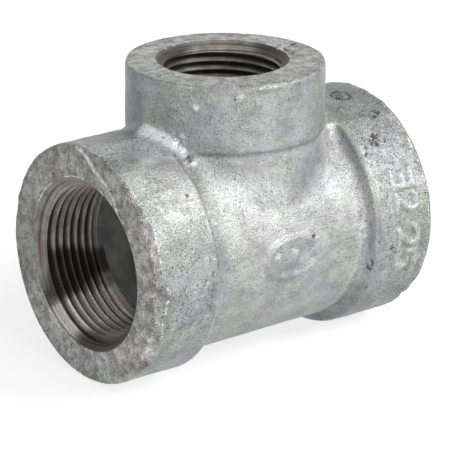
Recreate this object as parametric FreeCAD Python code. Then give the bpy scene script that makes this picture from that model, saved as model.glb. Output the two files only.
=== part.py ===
import FreeCAD, Part
import math
import os

# All sizes are in millimetres. The run lies along X, the branch points up +Z.
# The two axes cross at x = 0, y = 0, z = AXIS_HEIGHT, over the lowest line of the run bands.

# Outside of the casting
RUN_CENTRE_TO_END = 44.1
RUN_BAND_RADIUS = 30.5
RUN_BAND_LENGTH = 18.6
RUN_BAND_DRAFT = 1.3
RUN_FACE_CHAMFER = 0.9
RUN_SHOULDER_ROUNDING = 1.1
BODY_RADIUS = 27.45
BRANCH_CENTRE_TO_END = 45.0
BRANCH_BAND_RADIUS = 25.2
BRANCH_BAND_LENGTH = 16.7
BRANCH_SHOULDER_LENGTH = 1.9
BRANCH_FACE_CHAMFER = 0.8
BRANCH_SHOULDER_ROUNDING = 0.9
NECK_RADIUS = 24.3
NECK_FILLET = 8.0

# The bands' feet start this far inside the body and the neck, so that they join them
RUN_FOOT_SINK = 1.0
BRANCH_FOOT_SINK = 0.3

# Height of the crossing, so that the run bands' lowest line is at z = 0
AXIS_HEIGHT = RUN_BAND_RADIUS

# Pipe ends: taper pipe thread, 1 in 16 on the diameter, so 1 in 32 on the radius
RADIUS_TAPER = 1.0 / 32.0

# Run ends, for 1 1/4 inch pipe
RUN_MOUTH_RADIUS = 22.0
RUN_MOUTH_DEPTH = 2.2
RUN_CREST_RADIUS_AT_FACE = 19.2
RUN_DRILL_RADIUS = 18.85
RUN_THREAD_LENGTH = 19.4
RUN_WATERWAY_RADIUS = 20.0

# Branch end, for 1 inch pipe
BRANCH_MOUTH_RADIUS = 16.9
BRANCH_MOUTH_DEPTH = 1.9
BRANCH_CREST_RADIUS_AT_FACE = 14.85
BRANCH_DRILL_RADIUS = 14.5
BRANCH_THREAD_LENGTH = 17.5
BRANCH_WATERWAY_RADIUS = 15.8

# The branch core sat this far behind the middle of the band when the piece was cast
BRANCH_CORE_SHIFT = 1.2

X_AXIS = FreeCAD.Vector(1, 0, 0)
Z_AXIS = FreeCAD.Vector(0, 0, 1)
CROSSING = FreeCAD.Vector(0, 0, 0)
TOLERANCE = 0.01


def rounded_outline(corners):
    """Closed wire through (x, z, rounding) corners in the XZ plane, each corner rounded by its radius."""
    points = [FreeCAD.Vector(x, 0, z) for x, z, rounding in corners]
    starts = []
    ends = []
    edges = []
    for i, corner in enumerate(points):
        rounding = corners[i][2]
        to_last = (points[i - 1] - corner).normalize()
        to_next = (points[(i + 1) % len(points)] - corner).normalize()
        half_angle = to_last.getAngle(to_next) / 2
        setback = rounding / math.tan(half_angle)
        starts.append(corner + to_last * setback)
        ends.append(corner + to_next * setback)
        if rounding > 0:
            towards_centre = (to_last + to_next).normalize()
            sagitta = rounding / math.sin(half_angle) - rounding
            middle = corner + towards_centre * sagitta
            edges.append(Part.Arc(starts[i], middle, ends[i]).toShape())
    for i in range(len(points)):
        following = (i + 1) % len(points)
        edges.append(Part.LineSegment(ends[i], starts[following]).toShape())
    return Part.Wire(Part.__sortEdges__(edges))


def revolve(corners, axis):
    """Solid of revolution about an axis through the crossing, from an outline in the XZ plane."""
    return Part.Face(rounded_outline(corners)).revolve(CROSSING, axis, 360)


def crossing_edges(shape):
    """Edges where the body's round wall and the neck's round wall meet."""
    chosen = []
    for edge in shape.Edges:
        middle = edge.valueAt((edge.FirstParameter + edge.LastParameter) / 2)
        off_run = math.hypot(middle.y, middle.z)
        off_branch = math.hypot(middle.x, middle.y)
        if max(abs(off_run - BODY_RADIUS), abs(off_branch - NECK_RADIUS)) < TOLERANCE:
            chosen.append(edge)
    return chosen


def body_and_neck():
    """Straight body along the run, with the neck of the branch flared into it."""
    body_length = 2 * (RUN_CENTRE_TO_END - RUN_BAND_LENGTH / 2)
    body = Part.makeCylinder(
        BODY_RADIUS, body_length, FreeCAD.Vector(-body_length / 2, 0, 0), X_AXIS
    )
    neck_top = BRANCH_CENTRE_TO_END - BRANCH_BAND_LENGTH / 2
    neck = Part.makeCylinder(NECK_RADIUS, neck_top, CROSSING, Z_AXIS)
    joined = body.fuse(neck)
    return joined.makeFillet(NECK_FILLET, crossing_edges(joined))


def run_band():
    """Heavy band round the +X end, with a drafted shoulder down to the body."""
    shoulder = RUN_CENTRE_TO_END - RUN_BAND_LENGTH
    draft_slope = RUN_BAND_DRAFT / (RUN_BAND_RADIUS - BODY_RADIUS)
    foot_radius = BODY_RADIUS - RUN_FOOT_SINK
    foot = shoulder - draft_slope * (RUN_BAND_RADIUS - foot_radius)
    corners = [
        (foot, 0, 0),
        (foot, foot_radius, 0),
        (shoulder, RUN_BAND_RADIUS, RUN_SHOULDER_ROUNDING),
        (RUN_CENTRE_TO_END - RUN_FACE_CHAMFER, RUN_BAND_RADIUS, 0),
        (RUN_CENTRE_TO_END, RUN_BAND_RADIUS - RUN_FACE_CHAMFER, 0),
        (RUN_CENTRE_TO_END, 0, 0),
    ]
    return revolve(corners, X_AXIS)


def branch_band():
    """Band round the branch end, with a narrow shoulder down to the neck."""
    shoulder = BRANCH_CENTRE_TO_END - BRANCH_BAND_LENGTH
    neck_slope = BRANCH_SHOULDER_LENGTH / (BRANCH_BAND_RADIUS - NECK_RADIUS)
    foot_radius = NECK_RADIUS - BRANCH_FOOT_SINK
    foot = shoulder - neck_slope * (BRANCH_BAND_RADIUS - foot_radius)
    corners = [
        (0, foot, 0),
        (foot_radius, foot, 0),
        (BRANCH_BAND_RADIUS, shoulder, BRANCH_SHOULDER_ROUNDING),
        (BRANCH_BAND_RADIUS, BRANCH_CENTRE_TO_END - BRANCH_FACE_CHAMFER, 0),
        (BRANCH_BAND_RADIUS - BRANCH_FACE_CHAMFER, BRANCH_CENTRE_TO_END, 0),
        (0, BRANCH_CENTRE_TO_END, 0),
    ]
    return revolve(corners, Z_AXIS)


def bore_outline(face, mouth_radius, mouth_depth, crest_radius, drill_radius, thread_length):
    """Distances along the axis and radii of a threaded end, from its face to the end of its thread."""
    taper_end = face - (crest_radius - drill_radius) / RADIUS_TAPER
    chamfer_end = face - mouth_depth
    chamfer_radius = crest_radius - mouth_depth * RADIUS_TAPER
    return [
        (face, mouth_radius),
        (chamfer_end, chamfer_radius),
        (taper_end, drill_radius),
        (face - thread_length, drill_radius),
    ]


def run_core():
    """Hollow of the run: mouth, tapered thread wall and drilled wall at both ends, waterway between."""
    outline = bore_outline(
        RUN_CENTRE_TO_END,
        RUN_MOUTH_RADIUS,
        RUN_MOUTH_DEPTH,
        RUN_CREST_RADIUS_AT_FACE,
        RUN_DRILL_RADIUS,
        RUN_THREAD_LENGTH,
    )
    thread_end = RUN_CENTRE_TO_END - RUN_THREAD_LENGTH
    waterway_end = thread_end - (RUN_WATERWAY_RADIUS - RUN_DRILL_RADIUS)
    outline.append((waterway_end, RUN_WATERWAY_RADIUS))
    right = [(x, radius, 0) for x, radius in outline]
    left = [(-x, radius, 0) for x, radius in reversed(outline)]
    ends = [(-RUN_CENTRE_TO_END, 0, 0), (RUN_CENTRE_TO_END, 0, 0)]
    return revolve(right + left + ends, X_AXIS)


def branch_core():
    """Hollow of the branch: mouth, tapered thread wall, drilled wall and waterway down to the run."""
    outline = bore_outline(
        BRANCH_CENTRE_TO_END,
        BRANCH_MOUTH_RADIUS,
        BRANCH_MOUTH_DEPTH,
        BRANCH_CREST_RADIUS_AT_FACE,
        BRANCH_DRILL_RADIUS,
        BRANCH_THREAD_LENGTH,
    )
    thread_end = BRANCH_CENTRE_TO_END - BRANCH_THREAD_LENGTH
    waterway_end = thread_end - (BRANCH_WATERWAY_RADIUS - BRANCH_DRILL_RADIUS)
    outline.append((waterway_end, BRANCH_WATERWAY_RADIUS))
    outline.append((0, BRANCH_WATERWAY_RADIUS))
    corners = [(radius, z, 0) for z, radius in outline]
    corners += [(0, 0, 0), (0, BRANCH_CENTRE_TO_END, 0)]
    core = revolve(corners, Z_AXIS)
    core.translate(FreeCAD.Vector(0, BRANCH_CORE_SHIFT, 0))
    return core


def tee_body():
    """The whole casting: body, neck and three bands in one piece, hollowed by the two joined cores."""
    right_band = run_band()
    left_band = right_band.mirror(CROSSING, X_AXIS)
    outside = body_and_neck().fuse([right_band, left_band, branch_band()])
    casting = outside.cut(run_core().fuse(branch_core()))
    casting.translate(FreeCAD.Vector(0, 0, AXIS_HEIGHT))
    return casting.removeSplitter()


os.makedirs("parts", exist_ok=True)
casting = tee_body()
casting.exportStep("parts/tee_body.step")
print("solids", len(casting.Solids), "valid", casting.isValid())
print("volume in cubic millimetres", round(casting.Volume))
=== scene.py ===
import math
from types import SimpleNamespace

import bpy
import numpy as np
from mathutils import Matrix, Vector


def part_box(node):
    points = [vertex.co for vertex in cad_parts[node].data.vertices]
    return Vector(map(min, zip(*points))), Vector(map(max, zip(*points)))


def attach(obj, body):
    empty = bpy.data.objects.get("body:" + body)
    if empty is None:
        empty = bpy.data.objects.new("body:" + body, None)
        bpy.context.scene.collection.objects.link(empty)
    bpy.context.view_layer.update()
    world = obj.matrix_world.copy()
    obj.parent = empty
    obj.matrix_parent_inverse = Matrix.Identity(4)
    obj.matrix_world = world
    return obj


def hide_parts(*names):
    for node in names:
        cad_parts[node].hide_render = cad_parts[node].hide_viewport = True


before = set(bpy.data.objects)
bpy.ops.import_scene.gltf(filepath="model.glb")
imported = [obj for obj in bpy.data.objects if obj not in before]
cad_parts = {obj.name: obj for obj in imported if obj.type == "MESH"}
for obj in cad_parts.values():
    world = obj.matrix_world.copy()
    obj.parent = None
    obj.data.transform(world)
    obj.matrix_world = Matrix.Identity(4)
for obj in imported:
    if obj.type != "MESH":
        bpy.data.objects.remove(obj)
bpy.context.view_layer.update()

# The casting is worked out in millimetres from the crossing of the run and branch axes,
# and is brought to metres and to the frame's own height at the end.
MM = 0.001
NODE = "tee_body"
low_corner, high_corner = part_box(NODE)
RUN_FACE = high_corner[0] / MM
RUN_BAND_RADIUS = (high_corner[1] - low_corner[1]) / 2 / MM
AXIS_HEIGHT = RUN_BAND_RADIUS
BRANCH_FACE = high_corner[2] / MM - AXIS_HEIGHT

# Outside of the casting
RUN_BAND_LENGTH = 18.6
RUN_BAND_DRAFT = 1.3
RUN_SHOULDER = RUN_FACE - RUN_BAND_LENGTH
BODY_RADIUS = 27.45
BRANCH_BAND_RADIUS = 25.2
BRANCH_BAND_LENGTH = 16.7
BRANCH_SHOULDER_LENGTH = 1.0
BRANCH_SHOULDER = BRANCH_FACE - BRANCH_BAND_LENGTH
NECK_RADIUS = 24.3
NECK_FILLET = 8.0
RUN_SHOULDER_ROUNDING = 1.0
BRANCH_SHOULDER_ROUNDING = 0.4
FOOT_FILLET = 1.0
BRANCH_FOOT_FILLET = 0.5
UPPER_FOOT_FILLET = 2.6
CROTCH_FILLET = 3.0
BACK_CROTCH_FILLET = 1.8
END_ROUNDING = 1.6
FACING_ALLOWANCE = 0.6

# Hollow between the threads
BRANCH_CORE_SHIFT = 1.2
CORE_OVERLAP = 0.4
CORE_ROUNDING = 1.4
CORE_JOIN_ROUNDING = 2.0

# Taper pipe thread, 1 in 16 on the diameter
PITCH = 25.4 / 11.5
THREAD_HEIGHT = 0.8 * PITCH
THREAD_FLAT = 0.1
RADIUS_TAPER = 1.0 / 32.0
LEAD_LENGTH = 2.4
RUN_OUT_START = 1.6 * PITCH
RUN_OUT_LENGTH = 1.3 * PITCH
RUN_OUT_SINK = 0.8
UNCUT_LENGTH = 0.8

# Threaded ends. The root radius is the one at the face. The crests grow to their full height
# past the lead, the thread starts past the uncut depth, and the turn says where round the end.
# Past the rim start the finished face has a ragged outer edge.
RUN = SimpleNamespace(
    face=RUN_FACE,
    band_radius=RUN_BAND_RADIUS,
    mouth_radius=22.0,
    mouth_depth=2.2,
    root_radius=21.0,
    drill_radius=18.85,
    thread_length=19.4,
    waterway_radius=20.0,
    rim_start=27.0,
    lead=0.9,
    uncut=-1.0,
    turn=0.4,
)
BRANCH = SimpleNamespace(
    face=BRANCH_FACE,
    band_radius=BRANCH_BAND_RADIUS,
    mouth_radius=16.9,
    mouth_depth=1.9,
    root_radius=16.61,
    drill_radius=14.5,
    thread_length=17.5,
    waterway_radius=15.8,
    rim_start=22.0,
    lead=-1.6,
    uncut=2.3,
    turn=5.54,
)
ENDS = {"left": RUN, "right": RUN, "top": BRANCH}

# Tool rings in the flare of each mouth: depth from the face, and how far they are cut in
MOUTH_RINGS = [
    (1.5, 0.0), (1.3, 0.0), (1.05, 0.18), (0.8, 0.0), (0.55, 0.0), (0.4, 0.12), (0.25, 0.0),
]

# Fineness of the meshes
SKIN_VOXEL = 0.62
CORE_VOXEL = 1.2
SKIN_PASSES = 2
SETTLE_STEPS = 6
THREAD_SEGMENTS = 96
FACE_SEGMENTS = 180
BAND_SEGMENTS = 128
CORE_SEGMENTS = 96
SHARP_ANGLE = math.radians(28)

NOISE_SEED = 1117
NOISE_CELLS = 64
noise_lattice = np.random.default_rng(NOISE_SEED).random((NOISE_CELLS,) * 3)


# Noise and small shape functions

def grain(points, size, shift=0):
    """Smooth noise from -1 to 1 at points in millimetres, with lumps about `size` across."""
    scaled = points / size + shift * 7.31
    cell = np.floor(scaled).astype(int)
    part = scaled - cell
    part = part * part * (3 - 2 * part)
    total = np.zeros(len(points))
    for corner in range(8):
        step = np.array([corner & 1, (corner >> 1) & 1, (corner >> 2) & 1])
        weight = np.prod(np.where(step, part, 1 - part), axis=1)
        index = (cell + step) % NOISE_CELLS
        total += weight * noise_lattice[index[:, 0], index[:, 1], index[:, 2]]
    return total * 2 - 1


def ease(values):
    """Smooth step from 0 to 1."""
    clipped = np.clip(values, 0, 1)
    return clipped * clipped * (3 - 2 * clipped)


def above(values, start, width):
    """0 up to a start, rising to 1 over a width."""
    return ease((values - start) / width)


def below(values, start, width):
    """0 down to a start, rising to 1 over a width below it."""
    return ease((start - values) / width)


def near(values, middle, half_width):
    """1 at a middle value and 0 beyond a half width from it."""
    return ease(1 - np.abs(values - middle) / half_width)


def line_distance(points, route):
    """Distance of each point from a route of straight lines, in two or three dimensions."""
    nearest = np.full(len(points), np.inf)
    route = np.asarray(route, float)
    for start, end in zip(route[:-1], route[1:]):
        span = end - start
        share = np.clip((points - start) @ span / (span @ span), 0, 1)
        away = points - start - share[:, None] * span
        nearest = np.minimum(nearest, np.linalg.norm(away, axis=1))
    return nearest


def ridge(points, route, half_width):
    """1 on a route and 0 beyond its half width."""
    return ease(1 - line_distance(points, route) / half_width)


def blob(points, centre, size):
    """1 at a centre, falling off over about `size`."""
    away = points - np.asarray(centre, float)
    return np.exp(-np.sum(away * away, axis=1) / (size * size))


# Distance fields: each gives the distance of every point and the direction it grows in

def merge(one, other, rounding):
    """Union of two fields with a rolling fillet between them."""
    a, normal_a = one
    b, normal_b = other
    cosine = np.clip(np.sum(normal_a * normal_b, axis=1), -0.96, 0.96)
    scale = 1 - cosine * cosine
    share_a = ((rounding - a) - cosine * (rounding - b)) / scale
    share_b = ((rounding - b) - cosine * (rounding - a)) / scale
    reach = share_a**2 + share_b**2 + 2 * cosine * share_a * share_b
    reach = np.sqrt(np.maximum(reach, 1e-12))
    in_fillet = (share_a > 0) & (share_b > 0)
    distance = np.where(in_fillet, rounding - reach, np.minimum(a, b))
    nearer = np.where((a < b)[:, None], normal_a, normal_b)
    blended = (share_a[:, None] * normal_a + share_b[:, None] * normal_b) / reach[:, None]
    return distance, np.where(in_fillet[:, None], blended, nearer)


def common(one, other, rounding):
    """What two fields share, with their outer corner rounded."""
    distance, normal = merge((-one[0], -one[1]), (-other[0], -other[1]), rounding)
    return -distance, -normal


def radial(points, axis, shift_y=0.0):
    """Distance from an axis and the direction away from it."""
    across = points.copy()
    across[:, axis] = 0
    across[:, 1] -= shift_y
    radius = np.maximum(np.linalg.norm(across, axis=1), 1e-9)
    return radius, across / radius[:, None]


def band_field(points, axis, sign, radius, face, length, draft, step, rounding, allowance):
    """Band round an end: drafted shoulder on its inner side, rounded rim left over for facing."""
    away, outward = radial(points, axis)
    along = points[:, axis] * sign
    end_normal = np.zeros_like(points)
    end_normal[:, axis] = sign
    slope = draft / step
    scale = 1 / math.sqrt(1 + slope * slope)
    shoulder = ((face - length) - slope * (radius - away) - along) * scale
    shoulder_normal = outward * (slope * scale) - end_normal * scale
    side = common((away - radius, outward), (shoulder, shoulder_normal), rounding)
    return common(side, (along - face - allowance, end_normal), END_ROUNDING)


# Places where the branch rim was cast short: x and y, size and how much is missing
SHORT_RIM_PLACES = [((-20.0, -15.0), 8.0, 0.75), ((-24.5, 0.0), 5.0, 0.5), ((-5.0, -24.5), 3.0, 0.5)]


def rim_allowance(points, end):
    """How far the cast band stands past the finished face; where it is short, the rim stays as cast."""
    allowance = FACING_ALLOWANCE + 0.22 * grain(points, 5.0, end) + 0.2 * grain(points, 1.9, end + 3)
    if end == 2:
        for place_on_rim, size, missing in SHORT_RIM_PLACES:
            allowance -= missing * blob(points, (*place_on_rim, BRANCH_FACE), size)
    return allowance


def rounded_below(off_axis, height):
    """Distance from an upright shape of a given half width, closed by a round end below height 0."""
    return np.where(height < 0, np.hypot(np.maximum(off_axis, 0), height), off_axis)


def casting_field(points):
    """Outside of the casting."""
    x, y, z = points.T
    off_run, outward = radial(points, 0)
    body = (off_run - BODY_RADIUS, outward)
    off_branch, neck_outward = radial(points, 2)
    neck = (rounded_below(off_branch - NECK_RADIUS, z), neck_outward)
    whole = merge(body, neck, NECK_FILLET)
    foot = FOOT_FILLET + (UPPER_FOOT_FILLET - FOOT_FILLET) * above(z, 10, 12)
    for sign in (-1, 1):
        band = band_field(
            points, 0, sign, RUN_BAND_RADIUS, RUN_FACE, RUN_BAND_LENGTH, RUN_BAND_DRAFT,
            RUN_BAND_RADIUS - BODY_RADIUS, RUN_SHOULDER_ROUNDING, rim_allowance(points, sign)
        )
        whole = merge(whole, band, foot)
    band = band_field(
        points, 2, 1, BRANCH_BAND_RADIUS, BRANCH_FACE, BRANCH_BAND_LENGTH, BRANCH_SHOULDER_LENGTH,
        BRANCH_BAND_RADIUS - NECK_RADIUS, BRANCH_SHOULDER_ROUNDING, rim_allowance(points, 2)
    )
    to_back = ease(y / 10)
    sides = ease((np.abs(x) - 15 + 4 * to_back) / 8)
    crotch = CROTCH_FILLET + (BACK_CROTCH_FILLET - CROTCH_FILLET) * to_back
    return merge(whole, band, BRANCH_FOOT_FILLET + (crotch - BRANCH_FOOT_FILLET) * sides)


def core_end(sizes):
    """Distance from the crossing to which a core reaches into a threaded end."""
    return sizes.face - sizes.thread_length + CORE_OVERLAP


def core_field(points):
    """Hollow left by the sand cores between the threads."""
    x, _, z = points.T
    off_run, outward = radial(points, 0)
    end_normal = np.zeros_like(points)
    end_normal[:, 0] = np.sign(x)
    end = (np.abs(x) - core_end(RUN), end_normal)
    run = common((off_run - RUN.waterway_radius, outward), end, CORE_ROUNDING)
    off_branch, branch_outward = radial(points, 2, BRANCH_CORE_SHIFT)
    top_normal = np.zeros_like(points)
    top_normal[:, 2] = 1
    top = (z - core_end(BRANCH), top_normal)
    wall = (off_branch - BRANCH.waterway_radius, branch_outward)
    off_branch, branch_outward = common(wall, top, CORE_ROUNDING)
    return merge(run, (rounded_below(off_branch, z), branch_outward), CORE_JOIN_ROUNDING)


# Meshes

def closed_object(name, points, faces):
    """Object of a closed mesh whose faces all look outwards."""
    mesh = bpy.data.meshes.new(name)
    mesh.from_pydata([tuple(point) for point in points], [], faces)
    mesh.update()
    points = np.asarray(points, float)
    volume = 0.0
    for face in faces:
        for second, third in zip(face[1:-1], face[2:]):
            volume += points[face[0]] @ np.cross(points[second], points[third])
    if volume < 0:
        mesh.flip_normals()
    piece = bpy.data.objects.new(name, mesh)
    bpy.context.scene.collection.objects.link(piece)
    return piece


END_AXES = {
    "left": (np.array([0, 0, 1.0]), np.array([0, 1.0, 0]), np.array([-1.0, 0, 0]), 0.0),
    "right": (np.array([0, 1.0, 0]), np.array([0, 0, 1.0]), np.array([1.0, 0, 0]), 0.0),
    "top": (np.array([1.0, 0, 0]), np.array([0, 1.0, 0]), np.array([0, 0, 1.0]), BRANCH_CORE_SHIFT),
}


def place(end, along, radius, angle, centred=False):
    """Points at distances along an end's axis, radii and angles; the branch hole's axis sits back."""
    first, second, outward, shift = END_AXES[end]
    along, radius, angle = np.broadcast_arrays(along, radius, angle)
    points = np.multiply.outer(along, outward)
    points = points + np.multiply.outer(radius * np.cos(angle), first)
    points = points + np.multiply.outer(radius * np.sin(angle), second)
    if not centred:
        points[..., 1] += shift
    return points


def round_angles(segments):
    """Even angles round a circle."""
    return np.arange(segments) * 2 * math.pi / segments


def lathe(name, end, profile, segments, raised=None, centred=False):
    """Closed solid of revolution about an end's axis through (along, radius) profile points."""
    along, radius = np.array(profile, float).T[:, :, None]
    rings = place(end, along, radius, round_angles(segments)[None, :], centred)
    if raised is not None:
        height = raised(rings.reshape(-1, 3)).reshape(rings.shape[:2])
        rings = rings + height[..., None] * END_AXES[end][2]
    points = list(rings.reshape(-1, 3))
    points.append(place(end, profile[0][0], 0.0, 0.0, centred))
    points.append(place(end, profile[-1][0], 0.0, 0.0, centred))
    count = len(profile)
    first_pole = count * segments
    last = (count - 1) * segments
    faces = []
    for j in range(segments):
        k = (j + 1) % segments
        faces.append((first_pole, j, k))
        for i in range(0, last, segments):
            faces.append((i + j, i + segments + j, i + segments + k, i + k))
        faces.append((first_pole + 1, last + k, last + j))
    return closed_object(name, points, faces)


def crest_share(depth, lead):
    """Share of a crest's height that is left behind a face: the tap cut the first turns away."""
    return above(depth, lead, LEAD_LENGTH)


def thread(name, end):
    """Closed solid that cuts a right-handed taper thread into an end."""
    sizes = ENDS[end]
    length = sizes.thread_length
    offsets = [-THREAD_FLAT / 2, THREAD_FLAT / 2, (PITCH - THREAD_FLAT) / 2, (PITCH + THREAD_FLAT) / 2]
    is_root = [True, True, False, False]
    per_turn = len(offsets)
    start = sizes.face - length - 2 * PITCH
    turns = int(math.ceil((length + 4 * PITCH) / PITCH))
    row_starts = np.add.outer(start + np.arange(turns) * PITCH, offsets).ravel()[:, None]
    row_is_root = np.tile(is_root, turns)[:, None]
    count = len(row_starts)
    angles = round_angles(THREAD_SEGMENTS)[None, :]
    along = row_starts + PITCH * angles / (2 * math.pi)
    depth = sizes.face - along
    height = np.where(row_is_root, 0.0, THREAD_HEIGHT) * crest_share(depth, sizes.lead)
    full = sizes.root_radius - depth * RADIUS_TAPER - height
    fade = above(depth, length - RUN_OUT_START, RUN_OUT_LENGTH)
    radius = full * (1 - fade) + (sizes.drill_radius - RUN_OUT_SINK) * fade
    radius = radius - THREAD_HEIGHT * below(depth, sizes.uncut, UNCUT_LENGTH)
    points = list(place(end, along, radius, angles + sizes.turn).reshape(-1, 3))
    points.append(place(end, start - 2 * PITCH, 0.0, 0.0))
    points.append(place(end, start + (turns + 2) * PITCH, 0.0, 0.0))

    def at(i, j):
        """Number of a row's point; a row goes on into the row one turn further."""
        if j == THREAD_SEGMENTS:
            return (i + per_turn) * THREAD_SEGMENTS
        return i * THREAD_SEGMENTS + j

    faces = []
    for i in range(count - 1):
        for j in range(THREAD_SEGMENTS):
            if j == THREAD_SEGMENTS - 1 and i + 1 + per_turn > count - 1:
                continue
            faces.append((at(i, j), at(i, j + 1), at(i + 1, j + 1), at(i + 1, j)))
    inner = [at(0, j) for j in range(THREAD_SEGMENTS + 1)]
    inner += [at(i, 0) for i in range(per_turn - 1, 0, -1)]
    outer = [at(count - 1, j) for j in range(THREAD_SEGMENTS)]
    outer += [at(i, THREAD_SEGMENTS - 1) for i in range(count - 2, count - 2 - per_turn, -1)]
    pole = count * THREAD_SEGMENTS
    for here, following in zip(inner, inner[1:] + inner[:1]):
        faces.append((pole, following, here))
    for here, following in zip(outer, outer[1:] + outer[:1]):
        faces.append((pole + 1, here, following))
    return closed_object(name, points, faces)


def evaluated_mesh(piece, name):
    """Mesh of an object with its modifiers applied; the object itself is removed."""
    depsgraph = bpy.context.evaluated_depsgraph_get()
    depsgraph.update()
    mesh = bpy.data.meshes.new_from_object(piece.evaluated_get(depsgraph))
    mesh.name = name
    bpy.data.objects.remove(piece)
    return mesh


def mesh_points(mesh):
    """Places of a mesh's points."""
    points = np.empty(len(mesh.vertices) * 3)
    mesh.vertices.foreach_get("co", points)
    return points.reshape(-1, 3)


def set_points(mesh, points):
    """Moves a mesh's points."""
    mesh.vertices.foreach_set("co", np.ascontiguousarray(points, float).ravel())
    mesh.update()


def settle(points, field, steps):
    """Points moved on to the surface of a field."""
    for _ in range(steps):
        distance, normal = field(points)
        points = points - np.clip(distance, -1.0, 1.0)[:, None] * normal
    return points


def skin(name, parts, field, voxel):
    """One closed skin round several overlapping solids, drawn on to the surface of a field."""
    joined = parts[0]
    with bpy.context.temp_override(
        active_object=joined, object=joined, selected_objects=parts, selected_editable_objects=parts
    ):
        bpy.ops.object.join()
    for _ in range(SKIN_PASSES):
        remesh = joined.modifiers.new("skin", "REMESH")
        remesh.mode = "VOXEL"
        remesh.voxel_size = voxel
        mesh = evaluated_mesh(joined, name)
        set_points(mesh, settle(mesh_points(mesh), field, SETTLE_STEPS))
        joined = bpy.data.objects.new(name, mesh)
        bpy.context.scene.collection.objects.link(joined)
    return joined


def raise_skin(piece, field, height):
    """Moves a skin out by a height given at its points."""
    points = mesh_points(piece.data)
    _, normal = field(points)
    set_points(piece.data, points + normal * height(points)[:, None])


# Relief of the cast skin, in millimetres: routes of beads, routes where highlights are painted, then lumps
# and pits as place, size and height

CROTCH_BEAD = [
    (-26.1, -0.4, 30.8), (-25.9, -2.8, 30.6), (-25.4, -5.3, 30.2), (-24.6, -7.4, 29.6), (-23.8, -9.3, 28.9),
]
CROTCH_SEAM = [
    (-25.5, -0.6, 31.6), (-25.4, -2.6, 31.3), (-25.0, -5.2, 30.9), (-24.2, -7.6, 30.3), (-23.5, -9.5, 29.6),
]
CROTCH_STREAK = [(-24.2, -11.1, 26.9), (-23.2, -11.3, 27.5), (-22.3, -11.8, 28.5)]
# Routes along which a highlight is painted into the colour; they are not raised
VALLEY_HIGHLIGHT = [(-13.5, -21.3, 19.5), (-7.0, -23.2, 18.8), (-1.5, -24.2, 16.0)]
TOP_HIGHLIGHT = [(-41.0, -4.0, 30.2), (-27.0, -4.0, 30.2)]
FOOT_HIGHLIGHT = [(22.4, -27.5, 1.0), (22.4, -27.6, -3.0), (21.8, -25.0, -13.0), (20.5, -19.5, -20.0)]
CROTCH_BEAD_RIGHT = [(20.4, -14.8, 26.0), (22.4, -13.7, 26.0), (24.4, -12.6, 26.4), (25.0, -11.8, 27.2)]
LUMPS = [
    ((-20.7, -14.4, 39.5), 0.8, 0.4), ((-12.9, -21.6, 42.3), 1.0, 0.6), ((-12.2, -22.0, 42.8), 0.5, 0.3),
    ((23.2, -27.3, 3.3), 0.8, 0.45), ((-25.7, -0.6, 31.3), 1.2, 0.4), ((-25.3, -1.4, 32.0), 0.6, 0.4),
    ((-22.9, -13.3, 25.5), 0.8, 0.45), ((-21.4, -14.4, 25.4), 1.1, 0.5), ((-22.4, -11.4, 31.9), 0.5, 0.4),
    ((-22.0, -11.9, 30.4), 0.5, 0.35), ((23.2, -13.2, 26.0), 1.0, 0.3), ((25.0, -12.0, 26.9), 0.7, 0.4),
    ((24.4, -12.9, 25.2), 0.8, 0.3), ((-7.7, -23.8, 44.2), 1.1, 0.15), ((-4.0, -24.7, 44.2), 0.9, 0.15),
    ((31.0, -29.6, 6.0), 0.6, 0.3), ((36.8, -30.4, 1.2), 0.6, 0.3), ((33.5, -28.6, -10.6), 0.8, 0.3),
    ((-33.2, -20.6, 22.4), 1.6, 0.2),
]
PITS = [
    ((6.6, -27.1, 4.2), 0.55, 0.6), ((36.5, -14.8, 26.7), 1.2, 0.3), ((39.4, -13.4, 27.4), 1.2, 0.3),
    ((33.5, -19.4, 23.5), 0.9, 0.35), ((32.2, -20.6, 22.4), 1.2, 0.4), ((35.6, -20.9, 22.2), 0.8, 0.3),
    ((28.8, -21.4, 21.8), 0.7, 0.3), ((28.0, -22.7, 20.4), 0.8, 0.35),
    ((-31.5, -8.2, 29.4), 0.7, 0.25), ((-32.9, -13.0, 27.6), 0.5, 0.25), ((-28.6, -12.4, 27.9), 0.5, 0.25),
    ((-13.5, -21.3, 42.1), 0.45, 0.35), ((0.7, -24.3, 23.8), 0.6, 0.2), ((3.3, -25.0, 40.2), 0.5, 0.3),
    ((10.1, -26.4, 7.5), 0.45, 0.3), ((-3.0, -25.7, 9.6), 0.4, 0.25), ((40.4, -23.4, -19.6), 1.6, 0.8),
    ((43.0, -21.0, -22.0), 1.4, 0.7), ((-22.2, -13.3, 26.3), 0.55, 0.7), ((-22.8, -10.8, 30.7), 0.5, 0.6),
    ((-25.3, -0.4, 31.9), 0.45, 0.5), ((25.1, -28.9, -6.4), 0.7, 0.3), ((25.0, -28.3, -7.9), 0.7, 0.3),
    ((26.2, -30.4, -1.0), 0.6, 0.25), ((25.4, -28.0, 5.0), 0.5, 0.3), ((-0.7, -25.2, 40.5), 0.4, 0.25),
]


def arc_place(points):
    """Place on a round wall of the run: along it, and round it upwards from the front, as an angle."""
    return points[:, 0], np.arctan2(points[:, 2], -points[:, 1])


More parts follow.
